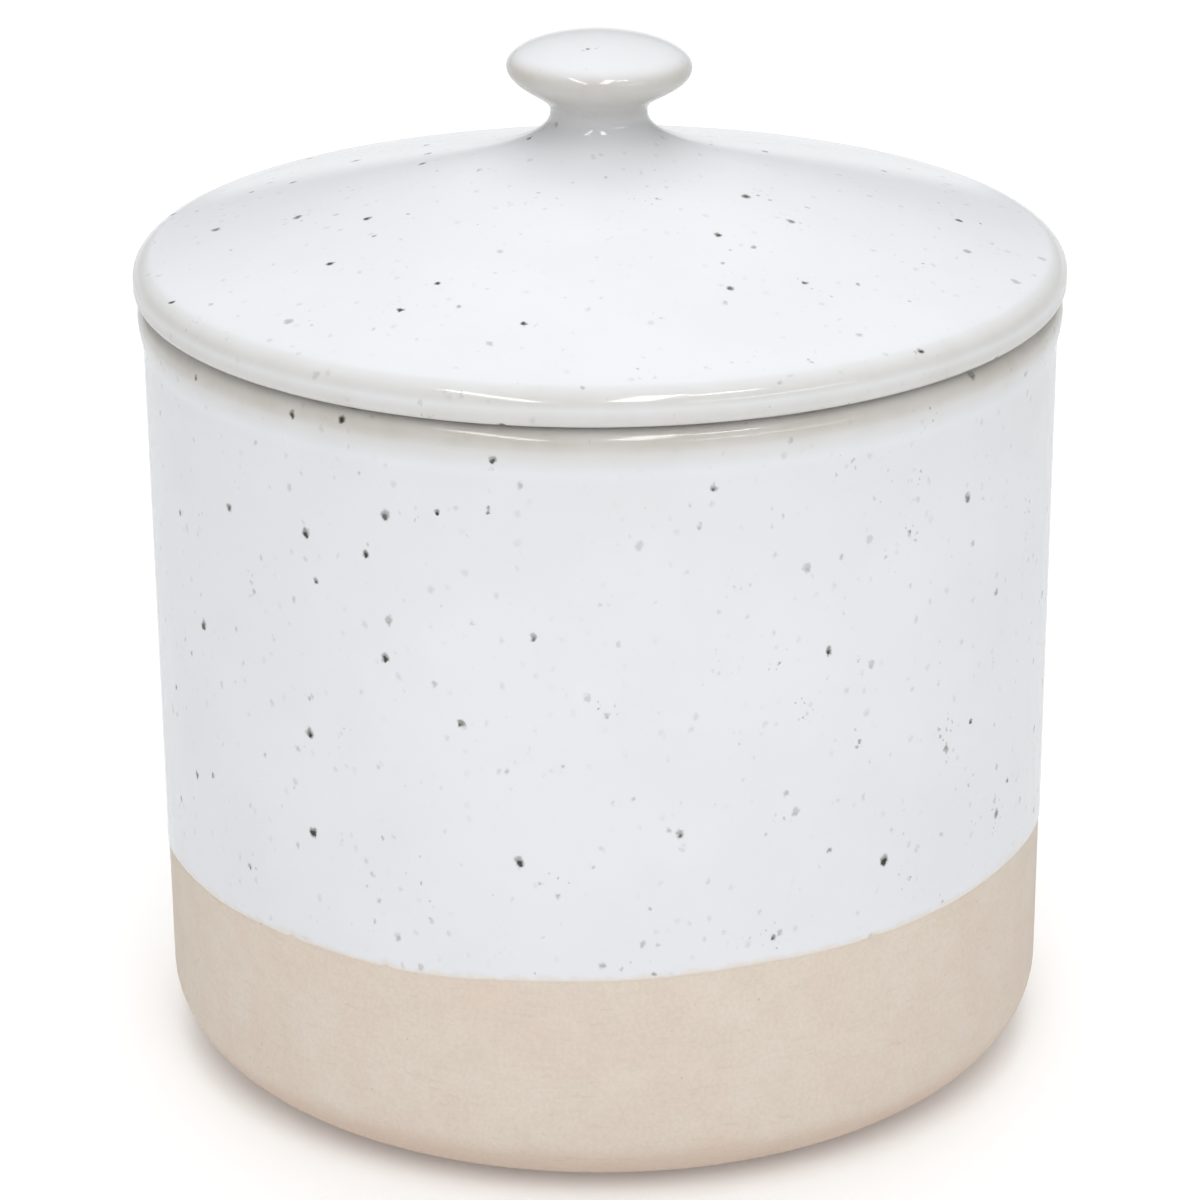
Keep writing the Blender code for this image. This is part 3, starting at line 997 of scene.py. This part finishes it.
def make_floor(settings):
    """A wide, plain pale floor."""
    radius, drop, sides = 6.0, 0.0001, 96
    floor = bpy.data.objects.new("floor", bpy.data.meshes.new("floor"))
    turns = np.linspace(0, 2 * pi, sides, endpoint=False)
    corners = [(radius * cos(a), radius * sin(a), -drop) for a in turns]
    floor.data.from_pydata(corners, [], [list(range(len(corners)))])
    bpy.context.scene.collection.objects.link(floor)
    material = bpy.data.materials.new("pale_floor")
    material.use_nodes = True
    tree = material.node_tree
    shader = tree.nodes["Principled BSDF"]
    place = add(tree, "ShaderNodeTexCoord").outputs["Object"]
    soft = noise(tree, place, 0.35, 2.0)["Fac"]
    paler = tuple(min(1.0, part * 1.01) for part in settings.floor)
    tree.links.new(blend(tree, soft, settings.floor, paler), shader.inputs["Base Color"])
    shader.inputs["Roughness"].default_value = 0.7
    shader.inputs["Emission Color"].default_value = (1.0, 1.0, 1.0, 1.0)
    # Far from the lights the floor glows more, so that it stays as pale as it is near the crock.
    away = add(tree, "ShaderNodeVectorMath", {0: place}, operation="LENGTH").outputs["Value"]
    glow = remap(tree, away, 0.5, 3.5, settings.glow, settings.backdrop)
    tree.links.new(glow, shader.inputs["Emission Strength"])
    shader.inputs["Specular IOR Level"].default_value = 0.2
    floor.data.materials.append(material)
    floor.visible_glossy = False


def make_tent(settings):
    """An even tent of light with a paler backdrop.

    Below the horizon the glaze mirrors a brighter ground instead of the floor.
    """
    world = bpy.data.worlds.new("tent")
    world.use_nodes = True
    tree = world.node_tree
    ahead = add(tree, "ShaderNodeTexCoord").outputs["Generated"]
    rise = add(tree, "ShaderNodeSeparateXYZ", {0: ahead}).outputs[2]
    strength = remap(tree, rise, -0.05, 0.10, settings.ground, settings.sky)
    seen = add(tree, "ShaderNodeLightPath").outputs["Is Camera Ray"]
    mix = {"Factor": seen, "A": strength, "B": settings.backdrop}
    strength = add(tree, "ShaderNodeMix", mix).outputs[0]
    background = tree.nodes["Background"]
    background.inputs["Color"].default_value = (0.98, 0.99, 1.0, 1.0)
    tree.links.new(strength, background.inputs["Strength"])
    bpy.context.scene.world = world


class CROCK_OT_stage(bpy.types.Operator):
    """Set out a pale floor, soft studio light and the camera"""

    bl_idname = "crock.set_stage"
    bl_label = "Stage"

    def execute(self, context):
        """Makes the floor, the world, the lights and the camera."""
        scene = context.scene
        settings = scene.crock_stage_settings
        make_floor(settings)
        make_tent(settings)
        scene.view_settings.view_transform = "Standard"

        aim = Vector((0.0, 0.0, LID_TOP.z * 0.7))
        for name, values in SOFTBOXES.items():
            softbox(name, aim, *values)

        camera = bpy.data.objects.new("camera", bpy.data.cameras.new("camera"))
        camera.data.lens = settings.lens
        camera.data.sensor_width = 36.0
        camera.data.clip_start = 0.01
        turn = Matrix.Rotation(pi / 2 - settings.pitch, 4, "X") @ Matrix.Rotation(settings.roll, 4, "Z")
        stand = Matrix.Translation((settings.aside, -settings.distance, settings.height))
        camera.matrix_world = stand @ turn
        scene.collection.objects.link(camera)
        scene.camera = camera
        return {"FINISHED"}


class CROCK_PT_panel(bpy.types.Panel):
    """The crock's pieces and their settings"""

    bl_idname = "CROCK_PT_panel"
    bl_label = "Butter Crock"
    bl_space_type = "VIEW_3D"
    bl_region_type = "UI"
    bl_category = "Butter Crock"

    def draw(self, context):
        """Lists each piece's operator, and the settings below them."""
        for operator in OPERATORS:
            self.layout.operator(operator.bl_idname)
        for name, settings in SETTINGS.items():
            box = self.layout.box()
            box.label(text=settings.__doc__)
            for value in settings.__annotations__:
                box.prop(getattr(context.scene, name), value)


OPERATORS = (CROCK_OT_pot, CROCK_OT_lid, CROCK_OT_knob, CROCK_OT_bell, CROCK_OT_stage)


def register():
    """Registers the settings, the operators and the panel."""
    for entry in (*SETTINGS.values(), *OPERATORS, CROCK_PT_panel):
        bpy.utils.register_class(entry)
    for name, settings in SETTINGS.items():
        setattr(bpy.types.Scene, name, bpy.props.PointerProperty(type=settings))


def unregister():
    """Removes what register added."""
    for name in SETTINGS:
        delattr(bpy.types.Scene, name)
    for entry in reversed((*SETTINGS.values(), *OPERATORS, CROCK_PT_panel)):
        bpy.utils.unregister_class(entry)


def main():
    """Makes every piece and the stage."""
    register()
    bpy.ops.crock.make_pot()
    bpy.ops.crock.make_lid()
    bpy.ops.crock.make_knob()
    bpy.ops.crock.make_bell()
    bpy.ops.crock.set_stage()


if __name__ == "__main__":
    main()
